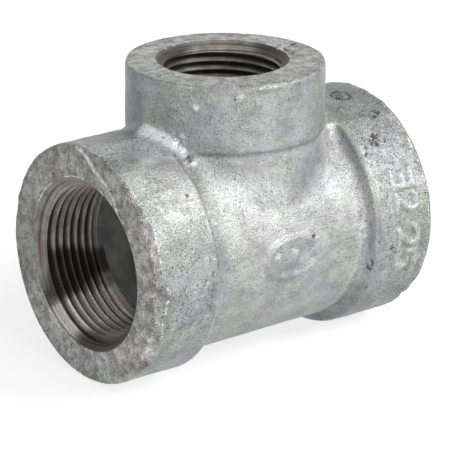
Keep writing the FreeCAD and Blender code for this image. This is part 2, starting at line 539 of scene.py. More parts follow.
DIGIT_STROKES = {
    "3": [(0.0, 0.0), (0.62, 0.0), (0.62, 0.5), (0.15, 0.5), (0.62, 0.5), (0.62, 1.0), (0.0, 1.0)],
    "2": [(0.0, 0.12), (0.1, 0.0), (0.5, 0.0), (0.62, 0.15), (0.6, 0.4), (0.0, 1.0), (0.66, 1.0)],
    "5": [
        (0.62, 0.0), (0.04, 0.0), (0.0, 0.45), (0.45, 0.42), (0.64, 0.62), (0.58, 0.92), (0.3, 1.0),
        (0.0, 0.92),
    ],
}
DIGIT_HEIGHT = 6.6
DIGIT_PLACES = [("3", 0.53), ("2", 0.33), ("2", 0.03), ("5", -0.17)]
DIGIT_TOP_X = 38.9
STROKE_HALF_WIDTH = 1.15


def size_marks(points, reach=STROKE_HALF_WIDTH):
    """Raised nominal sizes on the right band, read downwards with their tops to the end."""
    along, angle = arc_place(points)
    height = np.zeros(len(points))
    close = (along > 30) & (along < 41) & (points[:, 1] < 0) & (np.abs(angle) < 0.9)
    flat = np.stack([along[close], angle[close] * RUN_BAND_RADIUS], axis=1)
    raised = np.zeros(len(flat))
    for digit, start in DIGIT_PLACES:
        strokes = np.array(DIGIT_STROKES[digit]) * DIGIT_HEIGHT
        route = np.stack([DIGIT_TOP_X - strokes[:, 1], start * RUN_BAND_RADIUS - strokes[:, 0]], axis=1)
        raised = np.maximum(raised, below(line_distance(flat, route), reach, 0.5))
    height[close] = raised
    return height


RING_MARK_PLACE = (35.2, -4.0, 30.2)
RING_MARK_RADIUS = 2.5
RING_MARK_WIDTH = 0.55
PAD_HALF_LENGTH = 8.4
PAD_HALF_HEIGHT = 5.4
PAD_SQUARENESS = 2.2


def ring_mark(points):
    """1 on a small round mark on top of the right band."""
    away = np.linalg.norm(points - np.array(RING_MARK_PLACE), axis=1)
    return np.exp(-((away - RING_MARK_RADIUS) / RING_MARK_WIDTH) ** 2)


def pad_distance(points):
    """Distance from the middle of the oval pad on the front, 1 at its edge."""
    along, angle = arc_place(points)
    across = np.abs(along / PAD_HALF_LENGTH)
    up = np.abs(angle * BODY_RADIUS / PAD_HALF_HEIGHT)
    return (across**PAD_SQUARENESS + up**PAD_SQUARENESS) ** (1 / PAD_SQUARENESS)


def plain_pad(points):
    """Bare raised pad on the front of the body."""
    off = pad_distance(points)
    plate = 0.5 * below(off, 1.1, 0.12)
    border = 0.5 * near(off, 0.95, 0.16)
    rough = 0.85 * below(off, 0.85, 0.1) * grain(points, 1.9, 28)
    height = (plate + border + rough) * (0.9 + 0.25 * grain(points, 3.0, 29))
    return np.where(points[:, 1] < 0, height, 0.0)


def rough_share(points):
    """1 where the cast skin is rough: patches of the left band and all the right band."""
    x, _, z = points.T
    patches = above(grain(points, 6.0, 19), -0.35, 0.5)
    middle = 0.9 * below(z, 6, 6) * above(z, -24, 8)
    left = below(x, -26.0, 1.5) * np.maximum(0.25 + 0.75 * patches, middle)
    return np.maximum(0.8 * left, above(x, 26.5, 2))


def relief(points):
    """Height of the cast skin over its true form."""
    height = 0.11 * grain(points, 11.0, 1) + 0.035 * grain(points, 4.0, 2) + 0.012 * grain(points, 1.7, 3)
    calm = 1 - 0.7 * size_marks(points, 2.6)
    height += rough_share(points) * calm * (0.085 * grain(points, 2.6, 26) + 0.07 * grain(points, 1.3, 27))
    height += 0.32 * ridge(points, CROTCH_BEAD, 3.4) * (0.9 + 0.25 * grain(points, 1.8, 4))
    height += 0.5 * ridge(points, CROTCH_SEAM, 1.5) * (0.7 + 0.8 * grain(points, 0.9, 20))
    height += 0.4 * ridge(points, CROTCH_STREAK, 0.9)
    height += 0.4 * ridge(points, CROTCH_BEAD_RIGHT, 1.8) * (0.8 + 0.5 * grain(points, 1.5, 5))
    for centre, size, amount in LUMPS:
        height += amount * blob(points, centre, size)
    for centre, size, amount in PITS:
        height -= amount * blob(points, centre, size)
    height += size_marks(points) * (0.9 + 0.2 * grain(points, 2.5, 6))
    height -= 0.3 * ring_mark(points)
    return height + plain_pad(points)


def core_relief(points):
    """Roughness of the cored hollow."""
    return 0.12 * grain(points, 3.0, 11) + 0.12 * grain(points, 8.0, 12)


# Relief of the finished faces. Routes on the left face are (y, z); those on the top face are (x, y),
# each with the half width and the height of its ridge.
FACE_BEAD = [
    (2.5, 29.6), (0.3, 29.4), (-2.1, 28.0), (-4.6, 25.8), (-8.3, 24.2), (-11.0, 22.5), (-13.0, 20.0),
    (-14.4, 17.2),
]
FACE_SWELL = [(-9.0, 27.5), (-15.5, 22.5), (-19.0, 17.0)]
TOP_FACE_RIDGES = [
    ([(17.9, -1.8), (16.9, -5.5), (15.2, -8.6)], 1.6, -0.55),
    ([(20.6, 2.4), (18.0, -0.2)], 0.9, 0.4),
    ([(17.5, 5.5), (14.5, 10.5), (8.0, 16.5), (0.0, 19.0)], 1.4, 0.2),
    ([(-22.0, -2.0), (-19.6, -0.6), (-17.5, 0.0)], 0.7, 0.25),
]
TOP_FACE_CHIP = (22.6, 1.7, BRANCH_FACE)
MOUTH_LIP_RADIUS = RUN.mouth_radius + 0.3

# Depth to which the left rim is broken away, by the angle in degrees up from the front
RIM_WEAR = [
    (-180, 0.4), (-90, 0.7), (-60, 1.5), (-29, 2.2), (-18, 1.6), (-10, 1.2), (-5, 1.8), (-1, 2.8),
    (3, 2.4), (7, 1.9), (14, 1.25), (20, 1.35), (27, 1.7), (32, 1.7), (36, 1.15), (50, 0.6), (64, 0.2),
    (180, 0.4),
]
WEAR_SLOPE = 0.85


def rim_wear(points):
    """Depth along the run to which the left rim is broken away."""
    angle = np.degrees(arc_place(points)[1])
    depth = np.interp(angle, *zip(*RIM_WEAR))
    return np.maximum(depth * (1 + 0.3 * grain(points, 2.2, 21)) + 0.15 * grain(points, 1.0, 22), 0.05)


def left_face_relief(points):
    """Bead, swell, burr and broken rim of the near run face."""
    flat = points[:, 1:]
    off_axis = np.linalg.norm(flat, axis=1)
    raised = 0.38 * ridge(flat, FACE_BEAD, 0.9) * (0.9 + 0.4 * grain(points, 1.2, 10))
    raised += 0.12 * ease(1.6 * ridge(flat, FACE_SWELL, 5.5))
    raised += 0.16 * near(off_axis, MOUTH_LIP_RADIUS, 0.5) * (0.9 + 0.8 * grain(points, 2.0, 23))
    wear = rim_wear(points)
    width = WEAR_SLOPE * wear
    return raised - wear * np.clip((off_axis - (RUN_BAND_RADIUS - 0.1 - width)) / width, 0, 2)


def top_face_relief(points):
    """Chip, groove and tool ridges of the branch face."""
    raised = -0.9 * blob(points, TOP_FACE_CHIP, 1.4) * (1 + 0.5 * grain(points, 1.0, 24))
    for route, half_width, height in TOP_FACE_RIDGES:
        raised += height * ridge(points[:, :2], route, half_width)
    return raised


def face_relief(end):
    """Function giving how far an end's finished face stands out at points on it."""
    def height(points):
        raised = 0.05 * grain(points, 6.0, 8) + 0.03 * grain(points, 2.0, 9)
        if end == "left":
            raised += left_face_relief(points)
        if end == "top":
            raised += top_face_relief(points)
        return raised
    return height


def face_depth(points, end):
    """How far points lie behind an end's finished face, its relief counted."""
    outward = END_AXES[end][2]
    depth = ENDS[end].face - points @ outward
    return depth + face_relief(end)(points + depth[:, None] * outward)


# The casting

# Rings of the facing cutters: spacing over a face, and closer rings on the left face for its
# burr and its broken rim
FACING_SPACING = {"left": 0.8, "right": 1.3, "top": 0.7}
BURR_RINGS = [21.9, 22.1, 22.3, 22.55]
RIM_RINGS_START = RUN.rim_start
RIM_RINGS_END = 31.6
RIM_RINGS_SPACING = 0.4

# How far the cutters reach past the surfaces that they cut
CUTTER_MARGIN = 4.0
CUTTER_HEIGHT = 6.0


def facing_radii(end):
    """Radii of the rings of an end's facing cutter."""
    sizes = ENDS[end]
    outer = RIM_RINGS_START if end == "left" else sizes.band_radius + 1.0
    radii = list(np.arange(sizes.drill_radius - 1.5, outer, FACING_SPACING[end]))
    if end == "left":
        radii += BURR_RINGS
        radii += list(np.arange(RIM_RINGS_START, RIM_RINGS_END, RIM_RINGS_SPACING))
    return sorted(radii)


def facing_cutter(end):
    """Solid that takes a band down to its finished face."""
    face = ENDS[end].face
    outer = ENDS[end].band_radius + CUTTER_MARGIN
    profile = [(face, radius) for radius in facing_radii(end)]
    profile += [(face, outer), (face + CUTTER_HEIGHT, outer)]
    return lathe("facing_" + end, end, profile, FACE_SEGMENTS, face_relief(end), centred=True)


def bore_cutter(end):
    """Solid that cuts an end's mouth with its tool rings, its tapered wall and its drilled wall."""
    sizes = ENDS[end]
    face, deep = sizes.face, sizes.mouth_depth
    crest = sizes.root_radius - THREAD_HEIGHT
    chamfer = crest - deep * RADIUS_TAPER
    flare = (sizes.mouth_radius - chamfer) / deep
    profile = [
        (face - sizes.thread_length - 3, sizes.drill_radius),
        (face - (crest - sizes.drill_radius) / RADIUS_TAPER, sizes.drill_radius),
        (face - deep, chamfer),
        *[(face - depth, chamfer + flare * (deep - depth) + cut) for depth, cut in MOUTH_RINGS],
        (face, sizes.mouth_radius),
        (face + 2, sizes.mouth_radius + 2 * flare),
    ]
    return lathe("bore_" + end, end, profile, THREAD_SEGMENTS)


def rod(name, end, start, stop, radius, segments, centred=False):
    """Plain round bar along an end's axis."""
    return lathe(name, end, [(start, radius), (stop, radius)], segments, centred=centred)


def build_casting():
    """Mesh of the whole casting: the cast skin, faced, bored and threaded, and hollowed by the core."""
    run_end = RUN_FACE + FACING_ALLOWANCE
    branch_end = BRANCH_FACE + FACING_ALLOWANCE
    outside_parts = [
        rod("body", "right", -RUN_SHOULDER - 3, RUN_SHOULDER + 3, BODY_RADIUS, BAND_SEGMENTS),
        rod("band_a", "right", RUN_SHOULDER, run_end, RUN_BAND_RADIUS, BAND_SEGMENTS),
        rod("band_b", "left", RUN_SHOULDER, run_end, RUN_BAND_RADIUS, BAND_SEGMENTS),
        rod("neck", "top", 0.0, BRANCH_SHOULDER + 3, NECK_RADIUS, BAND_SEGMENTS, centred=True),
        rod("band_c", "top", BRANCH_SHOULDER, branch_end, BRANCH_BAND_RADIUS, BAND_SEGMENTS, centred=True),
    ]
    outside = skin("casting", outside_parts, casting_field, SKIN_VOXEL)
    raise_skin(outside, casting_field, relief)

    run_core = rod("run_core", "right", -core_end(RUN), core_end(RUN), RUN.waterway_radius, CORE_SEGMENTS)
    branch_core = rod("branch_core", "top", 0.0, core_end(BRANCH), BRANCH.waterway_radius, CORE_SEGMENTS)
    core = skin("core", [run_core, branch_core], core_field, CORE_VOXEL)
    raise_skin(core, core_field, core_relief)

    cutters = [core]
    for end in ENDS:
        cutters += [facing_cutter(end), bore_cutter(end), thread("thread_" + end, end)]
    for cutter in cutters:
        cut = outside.modifiers.new(cutter.name, "BOOLEAN")
        cut.operation = "DIFFERENCE"
        cut.solver = "MANIFOLD"
        cut.object = cutter
    mesh = evaluated_mesh(outside, "tee_casting")
    for cutter in cutters:
        bpy.data.objects.remove(cutter)
    return mesh


SKIN, FACE, THREAD, HOLLOW, BRANCH_THREAD = range(5)


def polygon_vectors(mesh, name):
    """Centres or normals of a mesh's polygons."""
    values = np.empty(len(mesh.polygons) * 3)
    mesh.polygons.foreach_get(name, values)
    return values.reshape(-1, 3)


def face_regions(mesh):
    """Which finish each face has: cast skin, finished face, cut thread or cored hollow."""
    centres = polygon_vectors(mesh, "center")
    normals = polygon_vectors(mesh, "normal")
    x, y, z = centres.T
    off_run = np.hypot(y, z)
    off_branch = np.hypot(x, y - BRANCH_CORE_SHIFT)
    region = np.full(len(centres), SKIN)
    in_run = off_run < RUN.mouth_radius + 0.3
    in_branch = (off_branch < BRANCH.mouth_radius + 0.3) & (z > 0)
    region[in_run | in_branch] = HOLLOW
    region[in_run & (np.abs(x) > RUN_FACE - RUN.thread_length + 0.3)] = THREAD
    region[in_branch & (z > BRANCH_FACE - BRANCH.thread_length + 0.3)] = BRANCH_THREAD
    ragged = 0.25 + 0.3 * grain(centres, 2.6, 14) + 0.25 * grain(centres, 0.9, 15)
    for end, off_axis in (("left", off_run), ("right", off_run), ("top", off_branch)):
        depth = np.abs(face_depth(centres, end))
        facing = normals @ END_AXES[end][2]
        region[(depth < 0.15) & (off_axis > ENDS[end].mouth_radius - 0.1) & (facing > 0.3)] = FACE
        region[(off_axis > ENDS[end].rim_start) & (depth < ragged)] = FACE
    return region


def sharp_edges(mesh, region):
    """Marks the edges of the cut surfaces that turn by more than the sharp angle."""
    loop_edges = np.empty(len(mesh.loops), int)
    mesh.loops.foreach_get("edge_index", loop_edges)
    totals = np.empty(len(mesh.polygons), int)
    mesh.polygons.foreach_get("loop_total", totals)
    normals = polygon_vectors(mesh, "normal")
    owner = np.repeat(np.arange(len(totals)), totals)
    order = np.argsort(loop_edges, kind="stable")
    edges, starts = np.unique(loop_edges[order], return_index=True)
    first = owner[order[starts]]
    second = owner[order[np.minimum(starts + 1, len(order) - 1)]]
    turned = np.sum(normals[first] * normals[second], axis=1) < math.cos(SHARP_ANGLE)
    cut = (region[first] != SKIN) | (region[second] != SKIN)
    cast = (region[first] == HOLLOW) & (region[second] == HOLLOW)
    sharp = np.zeros(len(mesh.edges), bool)
    sharp[edges] = turned & cut & ~cast
    mesh.attributes.new("sharp_edge", "BOOLEAN", "EDGE")
    mesh.attributes["sharp_edge"].data.foreach_set("value", sharp)


# Dirt on the skin: place, size and how dark
DIRT_SPOTS = [
    ((36.5, -14.8, 26.7), 1.8, 0.75), ((39.4, -13.4, 27.4), 1.6, 0.7), ((35.0, -3.9, 30.3), 1.9, 0.5),
    ((33.5, -19.4, 23.5), 1.1, 1.4), ((31.9, -20.7, 22.4), 1.4, 1.8), ((33.4, -20.8, 22.3), 1.1, 1.2),
    ((35.6, -20.9, 22.2), 1.0, 1.6), ((28.8, -21.4, 21.8), 0.7, 1.1), ((28.0, -22.7, 20.4), 0.8, 1.2),
    ((27.2, -24.0, 18.8), 0.6, 0.8), ((30.3, -18.0, 24.6), 0.7, 0.6), ((6.6, -27.1, 4.2), 0.8, 1.5),
    ((25.1, -28.9, -6.4), 0.8, 1.0), ((25.0, -28.3, -7.9), 0.9, 1.1), ((26.2, -30.5, -1.0), 0.7, 0.85),
    ((25.3, -26.4, -14.0), 0.9, 0.9), ((23.5, -27.3, 3.3), 0.9, 0.35), ((30.5, -30.1, -3.0), 1.6, 0.5),
    ((-30.5, -29.8, 6.0), 2.2, 0.3), ((-31.0, -25.5, 16.5), 2.4, 0.35), ((-29.5, -22.0, 20.8), 1.2, 0.4),
    ((-31.5, -8.2, 29.4), 0.8, 0.6), ((-13.6, -21.2, 42.0), 0.5, 1.1), ((0.7, -24.3, 23.8), 0.8, 0.5),
    ((3.3, -25.0, 40.2), 0.8, 0.7), ((-22.2, -13.3, 26.3), 0.6, 1.3), ((-22.8, -10.8, 30.6), 0.55, 1.2),
    ((-25.3, -0.4, 31.9), 0.5, 1.1), ((0.2, -25.9, 9.8), 1.0, 0.3), ((30.5, -9.0, 29.0), 1.2, 0.5),
    ((41.5, -6.0, 29.8), 1.4, 0.6), ((22.6, 1.6, 45.0), 1.4, 1.5), ((18.4, -1.4, 45.0), 1.1, 1.1),
    ((17.4, -5.2, 45.0), 1.1, 0.5), ((24.3, -3.0, 45.0), 1.4, 0.8), ((-23.0, -2.5, 45.0), 1.0, 0.4),
    ((-38.0, -30.0, 5.0), 0.9, 0.3), ((-0.7, -25.2, 40.5), 0.6, 0.6),
]
# Painted shade in the valley and on the body: place, size and how dark
PAINTED_SHADE_SPOTS = [
    ((9.5, -22.0, 21.5), 6.5, 0.95), ((-16.5, -18.0, 25.3), 3.6, 0.5), ((18.0, -22.5, 15.0), 5.0, 0.3),
    ((5.0, -25.5, 11.5), 5.0, 0.25),
]
# Strips painted lighter: painted highlights in the valley, on top of the left band and on the right foot, and
# thick zinc with a painted highlight on the crotch streak and seam: route, half width and how bright
HIGHLIGHT_STRIPS = [
    (VALLEY_HIGHLIGHT, 8.0, 0.4), (TOP_HIGHLIGHT, 9.5, 0.42), (FOOT_HIGHLIGHT, 3.4, 0.4), (CROTCH_STREAK, 1.0, 1.0),
    (CROTCH_SEAM, 1.6, 0.8),
]


# Direction across the view, by which the sides of the branch are told apart
ACROSS_X = 0.78
ACROSS_Y = -0.625


def speckle(points, size, shift, start, width):
    """Noise cut off to separate flecks."""
    return above(grain(points, size, shift), start, width)


def lay_out(points):
    """Places that the finishes are laid out by."""
    x, y, z = points.T
    at = SimpleNamespace(points=points, x=x, y=y, z=z)
    at.off_run = np.hypot(y, z)
    at.off_branch = np.hypot(x, y)
    at.depth = RUN_FACE - np.abs(x)
    at.top_depth = BRANCH_FACE - z
    at.angle = np.arctan2(z, y)
    at.on_branch = (at.off_branch > NECK_RADIUS - 0.4) & (z > 27)
    at.sideways = (ACROSS_X * x + ACROSS_Y * y) / BRANCH_BAND_RADIUS
    at.on_left_band = (x < -26) & (x > 0.7 - RUN_FACE)
    at.on_left_face = x < 1.0 - RUN_FACE
    # Painted shade on the inner corner of the left band
    at.left_corner = np.exp(-((x + RUN_SHOULDER) / 0.5) ** 2) * above(at.off_run, 28.5, 1.0)
    at.left_corner *= above(z, -8, 12) * below(y, -4, 8)
    at.specked = at.on_left_band * above(x, -42.5, 1.5) * below(z, 12, 5) * above(z, -16, 9)
    at.rippled = (x > 27) * above(z, 6, 6) * below(z, 27, 4) * (1 - size_marks(points, 3.2))
    at.ripple = grain(points * (1, 0.6, 0.6), 1.0, 39)
    at.wear = rim_wear(points)
    at.run_rim = above(at.off_run, 28.5, 1.0)
    at.top_rim = above(at.off_branch, 23.0, 1.0)
    return at


def skin_dirt_and_shade(at):
    """Dirt in spots and specks, on the ring mark and the broken rim, a darker outline round the digits, and
    painted shade at the feet of the left band, under the branch band and on the left band's inner corner.
    """
    points = at.points
    dirt_and_shade = np.zeros(len(points))
    for centre, size, amount in DIRT_SPOTS:
        dirt_and_shade += amount * blob(points, centre, size)
    dirt_and_shade *= 0.75 + 0.6 * grain(points, 1.1, 13)
    # Painted shade along the foot of the left band and under the branch band
    shoulder = np.abs(at.x) - (RUN_SHOULDER - RUN_BAND_DRAFT)
    foot = np.exp(-(shoulder / 0.9) ** 2) * above(at.off_run, 26, 1.0)
    foot *= below(at.off_run, BODY_RADIUS + 2.6, 2.0)
    shoulder = at.z - (BRANCH_SHOULDER - BRANCH_SHOULDER_LENGTH)
    under_band_shade = np.exp(-(shoulder / 0.8) ** 2) * above(at.off_branch, 23.5, 0.6) * below(at.off_branch, 26.2, 0.8)
    dirt_and_shade += 0.3 * foot * (at.x < 0) + 0.3 * under_band_shade + 0.45 * at.left_corner
    dirt_and_shade += 0.15 * (size_marks(points, 1.9) - size_marks(points, 1.3))
    dirt_and_shade += ring_mark(points) * (0.75 + 0.4 * grain(points, 1.4, 32))
    dirt_and_shade += 0.25 * blob(points, RING_MARK_PLACE, 2.0)
    dirt_and_shade += 0.42 * at.specked * speckle(points, 0.8, 37, 0.1, 0.35)
    dirt_and_shade += 0.45 * ridge(points, CROTCH_SEAM, 2.6) * speckle(points, 0.8, 30, 0.1, 0.3)
    worn = above(at.off_run, RUN_BAND_RADIUS - 0.3 - WEAR_SLOPE * at.wear, 0.5)
    worn = worn * (at.depth < at.wear + 0.2) * (at.x < 0)
    return dirt_and_shade + (0.1 + 0.18 * above(at.z, -2, 8)) * worn * (0.8 + 0.6 * grain(points, 1.2, 31))


def skin_painted_shade(at):
    """Painted shade beside and on the left band, on the sides of the branch, on the right band and its
    shoulder, low on the body, round the pad, in the valley, on the ripples, just below the branch rim, on the
    faces, less towards their bottom, and on the back of the near rim.
    """
    x, y, z, side = at.x, at.y, at.z, at.sideways
    beside = above(x, -25.5, 1.5) * below(x, -19.0, 4) * above(z, -10, 10) * below(y, -4, 8)
    painted_shade = beside * (at.off_run < BODY_RADIUS + 2.5) + 0.8 * at.left_corner
    branch = 0.95 * below(side, -0.75, 0.15) + 0.3 * above(side, -0.3, 0.3)
    painted_shade += at.on_branch * (branch + 0.42 * above(side, 0.35, 0.35) + 0.4 * above(side, 0.84, 0.1))
    low = 0.5 * below(z, 16, 5) * (1 - 0.35 * below(z, -2, 8))
    painted_shade += at.on_left_band * (0.25 * below(z, 24, 4) + low)
    edge = 24.8 + 0.7 * below(z, 4, 6)
    painted_shade += above(x, edge, 0.5) * (0.68 - 0.32 * above(z, 6, 6) - 0.14 * above(z, 26, 3))
    painted_shade += 0.9 * near(x, 26.3, 0.9) * (at.off_run > 29.3) * below(z, 24, 3) * above(z, -2, 6)
    painted_shade += 0.45 * (x > 25) * near(z, 24.0, 5.0)
    on_body = np.abs(x) < RUN_SHOULDER
    painted_shade += on_body * (0.08 + 0.25 * below(z, 2, 10) + 0.3 * below(z, -15, 6))
    painted_shade += 0.35 * (at.off_run > 26) * below(z, -13, 8)
    painted_shade += 0.7 * above(x, 40, 2) * below(z, -6, 6)
    painted_shade += 0.4 * below(pad_distance(at.points), 1.1, 0.2)
    for centre, size, amount in PAINTED_SHADE_SPOTS:
        painted_shade += amount * blob(at.points, centre, size)
    painted_shade *= 0.85 + 0.5 * grain(at.points, 3.5, 33)
    painted_shade += 0.4 * at.rippled * below(at.ripple, -0.1, 0.3)
    painted_shade += near(at.top_depth, 1.0, 1.8) * at.top_rim * (0.5 + 0.3 * above(x, -10, 8)) * below(y, 4, 6)
    on_face = (np.abs(at.depth) < 0.6) | (np.abs(at.top_depth) < 0.6)
    lower = below(z, -8, 12) + 0.6 * below(y, -18, 6) * below(z, 14, 6)
    far_side = above(y, 12, 8) * below(z, 8, 6) * above(z, -16, 6)
    face = 0.55 + 0.25 * below(z, 12, 5) * (z < 30) + 0.3 * far_side
    painted_shade += on_face * face * (1 - 0.72 * np.minimum(lower, 1))
    return painted_shade + 0.45 * at.on_left_face * above(at.off_run, 28.6, 0.8) * above(y, 4, 8)


def skin_zinc_and_highlights(at):
    """Lighter colour: thick zinc with painted highlights on the beads, lighter specks, ripples and digits,
    painted highlights on the lumps, along strips, on the rims, face bead and burr, on the right shoulder and
    on the lit side of the branch, and scratches with painted glints on the scraped lip of the mouth.
    """
    points, x, angle = at.points, at.x, at.angle
    zinc_and_highlight = 0.34 * at.specked * speckle(points, 0.7, 38, 0.15, 0.35) + 0.35 * size_marks(points)
    zinc_and_highlight += 0.42 * ridge(points, CROTCH_BEAD, 3.2) * (0.9 + 0.3 * grain(points, 1.6, 34))
    zinc_and_highlight += 0.45 * ridge(points, CROTCH_BEAD_RIGHT, 1.4) * (0.8 + 0.8 * grain(points, 0.9, 35))
    zinc_and_highlight += 0.32 * at.rippled * above(at.ripple, 0.1, 0.3)
    for route, half_width, amount in HIGHLIGHT_STRIPS:
        zinc_and_highlight += amount * ridge(points, route, half_width)
    # Painted highlight on the lit side of the branch, and painted light on the right band's shoulder
    zinc_and_highlight += 0.28 * at.on_branch * near(at.sideways, -0.42, 0.3)
    zinc_and_highlight += 0.12 * above(x, 23.6, 0.5) * below(x, 25.9, 0.5) * above(at.off_run, 27.0, 0.6)
    # Painted highlights on the lumps
    for centre, size, amount in LUMPS:
        zinc_and_highlight += min(0.7, 1.7 * amount) * blob(points, centre, size)
    # Painted highlight on the face bead
    zinc_and_highlight += at.on_left_face * ridge(points[:, 1:], FACE_BEAD, 0.8)
    # Painted highlights, in flecks, along the run rims and the branch rim
    flecks = above(grain(points, 1.3, 16) + 0.4 * grain(points, 4.0, 17), -0.1, 0.35)
    rim = near(at.depth, np.where(x < 0, at.wear, 0.6) + 0.35, 0.5) * at.run_rim
    top_rim = near(at.top_depth, 0.5, 0.45) * at.top_rim
    zinc_and_highlight += 0.5 * rim * (0.1 + 0.9 * flecks) + 0.35 * top_rim * flecks * below(x, 6, 4)
    # Painted highlight on the burr round the mouth, brighter on its upper part
    burr = near(at.off_run, MOUTH_LIP_RADIUS, 0.45) * at.on_left_face
    upper = above(angle, 0.2, 0.4) * below(angle, 2.9, 0.3)
    zinc_and_highlight += 0.6 * burr * (0.3 + upper) * (0.4 + 0.8 * flecks)
    # Scraped lip of the mouth, with painted glints
    scraped = below(angle, -0.78, 0.1) * above(angle, -1.35, 0.15) * near(at.off_run, 22.6, 1.0)
    glints = speckle(points * (1, 0.5, 0.5), 0.5, 25, 0.05, 0.2)
    return zinc_and_highlight + scraped * at.on_left_face * (0.3 + 0.9 * glints)


def thread_root(depth, radius, sizes):
    """0 on the crests of a thread and on its mouth, 1 in its roots."""
    root = sizes.root_radius - depth * RADIUS_TAPER
    crest = np.maximum(root - THREAD_HEIGHT, sizes.drill_radius)
    chamfer = sizes.root_radius - THREAD_HEIGHT - sizes.mouth_depth * RADIUS_TAPER
    mouth = chamfer + (sizes.mouth_depth - depth) * (sizes.mouth_radius - chamfer) / sizes.mouth_depth
    share = np.clip((radius - crest) / np.maximum(root - crest, 0.1), 0, 1)
    turned = 0.3 + (share - 0.3) * crest_share(depth, sizes.lead)
    return np.where((depth < sizes.mouth_depth) & (radius > mouth - 0.15), 0.3, turned)


def run_thread_tones(at):
    """Painted shade in the roots, oil with painted shade over part of the wall, the flare and the lower lip,
    and a painted lit patch of the run threads, the near one lit from the right.
    """
    depth, angle = at.depth, at.angle
    root = thread_root(depth, at.off_run, RUN)
    wavy = angle + 0.06 * grain(at.points, 2.5, 18)
    # Band of oil and painted shade round part of the wall, darkest at the lower lip
    oil_and_shade_top = 0.02 - 0.009 * depth - 0.2 * below(depth, 2.6, 1.5)
    oil_and_shade_bottom = -0.93 + 0.012 * depth
    oil_and_shade = below(wavy, oil_and_shade_top, 0.2 + 0.4 * below(depth, 3.4, 2))
    oil_and_shade = oil_and_shade * above(wavy, oil_and_shade_bottom, 0.2) * above(depth, -0.9, 1.0)
    lower_lip = below(angle, -1.12, 0.45) * above(angle, -2.9, 0.4) * (0.5 + 0.5 * below(depth, 5.5, 3.5))
    on_flare = below(depth, RUN.mouth_depth + 0.8, 0.8) * below(np.abs(angle), 1.6, 0.8)
    oil_and_shade = np.maximum(np.maximum(oil_and_shade, lower_lip), 0.3 * on_flare)
    # Painted light on the lit patch
    lit = below(wavy, -0.66, 0.2) * above(wavy, -2.2, 0.4) * (1 - lower_lip)
    return root, oil_and_shade, lit * (depth > 0.3) * (at.off_run < RUN.mouth_radius + 0.1)


def branch_thread_tones(at, off_hole):
    """Painted shade in the roots of the branch thread, and oil with painted shade: darker on its left, with
    dark ends of the flare, a dark ring and a painted lit ring in the flare.
    """
    depth = at.top_depth
    root = thread_root(depth, off_hole, BRANCH)
    root = np.where(depth > BRANCH.mouth_depth, np.minimum(1.6 * root, 1), root)
    across = (ACROSS_X * at.x + ACROSS_Y * (at.y - BRANCH_CORE_SHIFT)) / BRANCH.mouth_radius
    flare_ends = below(depth, BRANCH.mouth_depth + 0.8, 1.2) * above(np.abs(across), 0.35, 0.35)
    flare_ends *= np.where(across < 0, 0.6, 1.0)
    flare = below(depth, BRANCH.mouth_depth + 0.8, 0.8)
    flare += 1.6 * near(depth, 0.8, 0.35) - 0.7 * near(depth, 1.5, 0.35)
    oil_and_shade = 0.2 + 0.22 * flare + 0.5 * flare_ends + 0.5 * below(across, -0.45, 0.3) * (depth > 1.0)
    return root, oil_and_shade


def paint(mesh):
    """Point attributes that the finishes use: dirt with painted shade, thick zinc with painted highlights,
    painted shade, roughness, and thread tones with painted light and shade.
    """
    at = lay_out(mesh_points(mesh))
    zinc_and_highlight = skin_zinc_and_highlights(at)
    root, oil_and_shade, lit = run_thread_tones(at)
    off_hole = np.hypot(at.x, at.y - BRANCH_CORE_SHIFT)
    in_branch = (off_hole < BRANCH.mouth_radius + 0.2) & (at.top_depth < BRANCH.thread_length)
    branch_root, branch_oil_and_shade = branch_thread_tones(at, off_hole)
    root = np.where(in_branch, branch_root, root)
    # The painted lit patch of the run threads goes into the same attribute as the thick zinc and highlights
    zinc_and_highlight = np.where(lit > 0, np.maximum(zinc_and_highlight * (at.depth < 0.3), lit), zinc_and_highlight)
    lit = lit * (0.6 + 0.4 * above(at.depth, 4, 6))
    layers = {
        "dirt_and_shade": skin_dirt_and_shade(at),
        "zinc_and_highlight": zinc_and_highlight,
        # Painted shade in the roots, lighter where the patch is lit
        "root": root * (1 - 0.35 * lit * lit),
        "oil_and_shade": np.where(in_branch, branch_oil_and_shade, oil_and_shade),
        "coarse": rough_share(at.points) * (1 - 0.45 * size_marks(at.points, 2.2)),
        "painted_shade": skin_painted_shade(at),
    }
    for name, values in layers.items():
        layer = mesh.attributes.new(name, "FLOAT", "POINT")
        layer.data.foreach_set("value", np.clip(values, 0, 1).astype(np.float32))


casting = build_casting()
region = face_regions(casting)
paint(casting)
sharp_edges(casting, region)
casting.polygons.foreach_set("use_smooth", np.ones(len(casting.polygons), bool))
casting.transform(Matrix.Translation((0, 0, AXIS_HEIGHT * MM)) @ Matrix.Scale(MM, 4))
casting.update()
tee = bpy.data.objects.new("tee_casting", casting)
bpy.context.scene.collection.objects.link(tee)


# Finishes

